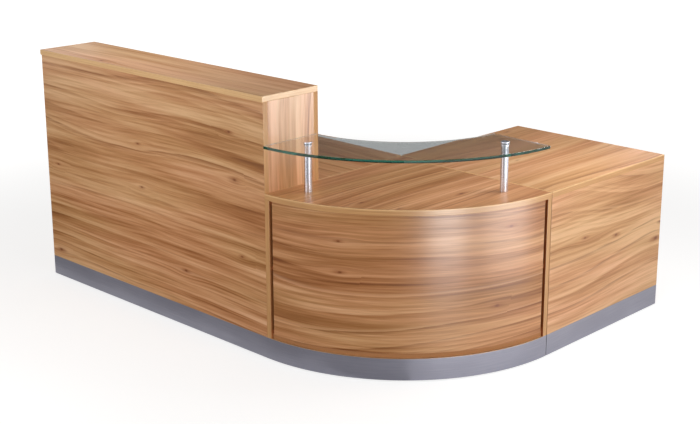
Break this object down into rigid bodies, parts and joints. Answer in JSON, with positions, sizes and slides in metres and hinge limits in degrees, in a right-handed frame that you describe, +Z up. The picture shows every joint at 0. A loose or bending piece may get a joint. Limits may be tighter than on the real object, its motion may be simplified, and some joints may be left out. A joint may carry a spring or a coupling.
{
  "type": "reception desk",
  "caption": "L-shaped reception desk: long unit with a raised counter, quarter-round corner with a curved glass shelf on chrome posts, and a short unit, on levelling feet.",
  "frame": {"origin": "on the floor under the middle of the desk's bounding box", "axes": "+X along the long unit towards the corner, +Y from the long front towards the staff side, +Z up"},
  "size_m": [2.4631, 1.7434, 1.155],
  "materials": {
    "panel_wood": "satin beech-coloured board",
    "top_wood": "satin beech-coloured board",
    "edge_band": "satin light edging",
    "bare_board": "raw board",
    "plinth_foil": "satin silver-grey foil on board",
    "glass": "polished",
    "chrome": "polished",
    "clear_plastic": "clear",
    "steel": "zinc plated",
    "block_plastic": "moulded",
    "foot_plastic": "moulded"
  },
  "bodies": {
    "desk": {"left_front_panel": "panel_wood", "hutch_left_end_panel": "panel_wood", "hutch_right_end_panel": "panel_wood", "hutch_back_panel": "panel_wood", "left_outer_end_panel": "panel_wood", "left_inner_end_panel": "panel_wood", "corner_left_end_panel": "panel_wood", "corner_right_end_panel": "panel_wood", "right_inner_end_panel": "panel_wood", "right_outer_end_panel": "panel_wood", "right_front_panel": "panel_wood", "curved_front_panel": "panel_wood", "corner_base_board": "panel_wood", "left_worktop": "top_wood", "corner_worktop": "top_wood", "right_worktop": "top_wood", "counter_top": "top_wood", "left_worktop_edge_band": "edge_band", "corner_worktop_edge_band": "edge_band", "right_worktop_edge_band": "edge_band", "counter_top_edge_band": "edge_band", "upper_former": "bare_board", "middle_former": "bare_board", "lower_former": "bare_board", "corner_batten": "bare_board", "left_plinth": "plinth_foil", "corner_plinth": "plinth_foil", "right_plinth": "plinth_foil", "glass_shelf": "glass", "left_post": "chrome", "right_post": "chrome", "left_post_cap": "chrome", "right_post_cap": "chrome", "glass_washers": "clear_plastic", "post_bolts": "steel", "unit_connectors": "steel", "foot_inserts": "steel", "corner_blocks": "block_plastic"},
    "left_outer_back_foot": {"left_outer_back_foot": "foot_plastic"},
    "left_outer_front_foot": {"left_outer_front_foot": "foot_plastic"},
    "left_inner_back_foot": {"left_inner_back_foot": "foot_plastic"},
    "left_inner_front_foot": {"left_inner_front_foot": "foot_plastic"},
    "corner_left_back_foot": {"corner_left_back_foot": "foot_plastic"},
    "corner_left_front_foot": {"corner_left_front_foot": "foot_plastic"},
    "corner_right_back_foot": {"corner_right_back_foot": "foot_plastic"},
    "corner_right_front_foot": {"corner_right_front_foot": "foot_plastic"},
    "right_inner_back_foot": {"right_inner_back_foot": "foot_plastic"},
    "right_inner_front_foot": {"right_inner_front_foot": "foot_plastic"},
    "right_outer_back_foot": {"right_outer_back_foot": "foot_plastic"},
    "right_outer_front_foot": {"right_outer_front_foot": "foot_plastic"}
  },
  "joints": [
    {"name": "left_outer_back_foot_screw", "type": "slide", "parent": "desk", "child": "left_outer_back_foot", "axis": [0, 0, 1], "range_m": [-0.01, 0.003]},
    {"name": "left_outer_front_foot_screw", "type": "slide", "parent": "desk", "child": "left_outer_front_foot", "axis": [0, 0, 1], "range_m": [-0.01, 0.003]},
    {"name": "left_inner_back_foot_screw", "type": "slide", "parent": "desk", "child": "left_inner_back_foot", "axis": [0, 0, 1], "range_m": [-0.01, 0.003]},
    {"name": "left_inner_front_foot_screw", "type": "slide", "parent": "desk", "child": "left_inner_front_foot", "axis": [0, 0, 1], "range_m": [-0.01, 0.003]},
    {"name": "corner_left_back_foot_screw", "type": "slide", "parent": "desk", "child": "corner_left_back_foot", "axis": [0, 0, 1], "range_m": [-0.01, 0.003]},
    {"name": "corner_left_front_foot_screw", "type": "slide", "parent": "desk", "child": "corner_left_front_foot", "axis": [0, 0, 1], "range_m": [-0.01, 0.003]},
    {"name": "corner_right_back_foot_screw", "type": "slide", "parent": "desk", "child": "corner_right_back_foot", "axis": [0, 0, 1], "range_m": [-0.01, 0.003]},
    {"name": "corner_right_front_foot_screw", "type": "slide", "parent": "desk", "child": "corner_right_front_foot", "axis": [0, 0, 1], "range_m": [-0.01, 0.003]},
    {"name": "right_inner_back_foot_screw", "type": "slide", "parent": "desk", "child": "right_inner_back_foot", "axis": [0, 0, 1], "range_m": [-0.01, 0.003]},
    {"name": "right_inner_front_foot_screw", "type": "slide", "parent": "desk", "child": "right_inner_front_foot", "axis": [0, 0, 1], "range_m": [-0.01, 0.003]},
    {"name": "right_outer_back_foot_screw", "type": "slide", "parent": "desk", "child": "right_outer_back_foot", "axis": [0, 0, 1], "range_m": [-0.01, 0.003]},
    {"name": "right_outer_front_foot_screw", "type": "slide", "parent": "desk", "child": "right_outer_front_foot", "axis": [0, 0, 1], "range_m": [-0.01, 0.003]}
  ]
}
